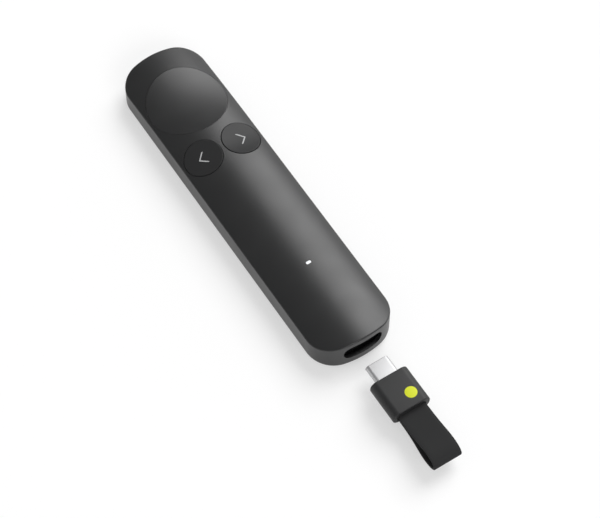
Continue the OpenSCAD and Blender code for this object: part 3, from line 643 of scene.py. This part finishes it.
def bezier(*corners, steps):
    """Points on a curve from its first corner towards its last, without the last one."""
    a, b, c, d = [Vector(corner) for corner in corners]
    points = []
    for i in range(steps):
        t = i / steps
        s = 1 - t
        points.append(a * s**3 + b * 3 * s * s * t + c * 3 * s * t * t + d * t**3)
    return points


path = bezier(
    (exit_u, run_half), (exit_u + exit_reach, run_half), (wide_u - wide_reach, wide_up),
    (wide_u, wide_up), steps=36,
)
path += bezier(
    (wide_u, wide_up), (wide_u + end_reach, wide_up), (fold_u, fold_top), (fold_u, fold_middle),
    steps=20,
)
path += bezier(
    (fold_u, fold_middle), (fold_u, fold_bottom), (wide_u + end_reach, wide_down),
    (wide_u, wide_down), steps=20,
)
path += bezier(
    (wide_u, wide_down), (wide_u - wide_reach, wide_down), (exit_u + exit_reach, -run_half),
    (exit_u, -run_half), steps=36,
)
path += bezier(
    (exit_u, -run_half), (exit_u - inner_reach, -run_half), (pin_reach - pin_inset, -wrap_radius),
    (-pin_inset, -wrap_radius), steps=8,
)
wrap_steps = 16
for i in range(wrap_steps):
    a = math.radians(270 - 180 * i / wrap_steps)
    path.append(Vector((-pin_inset + wrap_radius * math.cos(a), wrap_radius * math.sin(a))))
path += bezier(
    (-pin_inset, wrap_radius), (pin_reach - pin_inset, wrap_radius),
    (exit_u - inner_reach, run_half), (exit_u, run_half), steps=8,
)
strap_bm = bmesh.new()
loop = [strap_bm.verts.new((-strap_width / 2, back_y - p.x, dock_z - run_low + p.y)) for p in path]
for a, b in zip(loop, loop[1:] + loop[:1]):
    strap_bm.edges.new((a, b))
across_steps = 6
edges = strap_bm.edges[:]
for i in range(across_steps):
    grown = bmesh.ops.extrude_edge_only(strap_bm, edges=edges)["geom"]
    edges = [g for g in grown if isinstance(g, bmesh.types.BMEdge)]
    bmesh.ops.translate(
        strap_bm, vec=(strap_width / across_steps, 0, 0),
        verts=[g for g in grown if isinstance(g, bmesh.types.BMVert)],
    )
bmesh.ops.recalc_face_normals(strap_bm, faces=strap_bm.faces)
strap = finished(strap_bm, "strap_band")
thick = strap.modifiers.new("thickness", "SOLIDIFY")
thick.thickness = strap_thickness * mm
thick.offset = 0
soft_edge = strap.modifiers.new("soft_edge", "BEVEL")
soft_edge.width = 0.22 * mm
soft_edge.segments = 3
soft_edge.limit_method = "ANGLE"
soft_edge.angle_limit = math.radians(50)
depsgraph = bpy.context.evaluated_depsgraph_get()
strap_mesh = bpy.data.meshes.new_from_object(strap.evaluated_get(depsgraph))
strap.modifiers.clear()
strap.data = strap_mesh
shade(strap, 50)
strap_elastomer = moulded_plastic(
    "strap_elastomer", (0.022, 0.0222, 0.0227), 0.7, grain=0.25, relief=0.01, gloss=0.12
)
dress(strap, strap_elastomer)
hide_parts("strap_loop")
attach(strap, "receiver")

# ---- Floor, lamps and world ----
# The object lies on a plain white floor. A tall soft lamp stands on the right and a weaker one in
# front of the near end. The room is pale low down, dark at mid height and a little paler overhead.
floor_radius, floor_clearance = 4000, 0.05
floor_bm = bmesh.new()
bmesh.ops.create_circle(floor_bm, cap_ends=True, segments=96, radius=floor_radius)
bmesh.ops.translate(floor_bm, vec=(0, 0, -floor_clearance), verts=floor_bm.verts)
floor = finished(floor_bm, "studio_floor")
paper = bpy.data.materials.new("white_paper")
paper.use_nodes = True
tree = paper.node_tree
sheet = tree.nodes["Principled BSDF"]
sheet.inputs["Base Color"].default_value = (0.45, 0.45, 0.45, 1)
sheet.inputs["Roughness"].default_value = 0.9
sheet.inputs["Specular IOR Level"].default_value = 0.1
path_info = tree.nodes.new("ShaderNodeLightPath")
seen = tree.nodes.new("ShaderNodeMath")
seen.operation = "MAXIMUM"
seen_too = tree.nodes.new("ShaderNodeMath")
seen_too.operation = "MAXIMUM"
tree.links.new(path_info.outputs["Is Camera Ray"], seen.inputs[0])
tree.links.new(path_info.outputs["Is Glossy Ray"], seen.inputs[1])
tree.links.new(seen.outputs[0], seen_too.inputs[0])
tree.links.new(path_info.outputs["Is Transmission Ray"], seen_too.inputs[1])
lift = tree.nodes.new("ShaderNodeMath")
lift.operation = "MULTIPLY"
lift.inputs[1].default_value = 0.5
tree.links.new(seen_too.outputs[0], lift.inputs[0])
sheet.inputs["Emission Color"].default_value = (1, 1, 1, 1)
tree.links.new(lift.outputs[0], sheet.inputs["Emission Strength"])
dress(floor, paper)


def soft_lamp(name, direction, distance, width, tall, watts):
    """A soft rectangular lamp that faces the object; lengths are in metres."""
    lamp_data = bpy.data.lights.new(name, "AREA")
    lamp_data.shape = "RECTANGLE"
    lamp_data.size = width
    lamp_data.size_y = tall
    lamp_data.energy = watts
    lamp = bpy.data.objects.new(name, lamp_data)
    scene.collection.objects.link(lamp)
    way = Vector(direction).normalized()
    lamp.location = way * distance
    lamp.rotation_euler = way.to_track_quat("Z", "Y").to_euler()


soft_lamp("key_softbox", (0.62, 0.249, 0.744), distance=5.0, width=3.3, tall=3.88, watts=235)
soft_lamp("front_fill", (-0.05, -0.83, 0.56), distance=5.0, width=3.0, tall=2.0, watts=70)

world = bpy.data.worlds.new("studio_room")
scene.world = world
world.use_nodes = True
tree = world.node_tree
room = tree.nodes["Background"]
way = tree.nodes.new("ShaderNodeTexCoord")
split = tree.nodes.new("ShaderNodeSeparateXYZ")
tree.links.new(way.outputs["Generated"], split.inputs["Vector"])
shades = tree.nodes.new("ShaderNodeValToRGB")
ramp = shades.color_ramp
ramp.elements[0].position = 0.0
ramp.elements[0].color = (1, 1, 1, 1)
ramp.elements[1].position = 0.85
ramp.elements[1].color = (0.15, 0.15, 0.15, 1)
for place_up, level in ((0.28, 0.16), (0.55, 0.09)):
    ramp.elements.new(place_up).color = (level, level, level, 1)
tree.links.new(split.outputs["Z"], shades.inputs["Fac"])
tree.links.new(shades.outputs["Color"], room.inputs["Color"])
room.inputs["Strength"].default_value = 2.5

scene.view_settings.view_transform = "Standard"
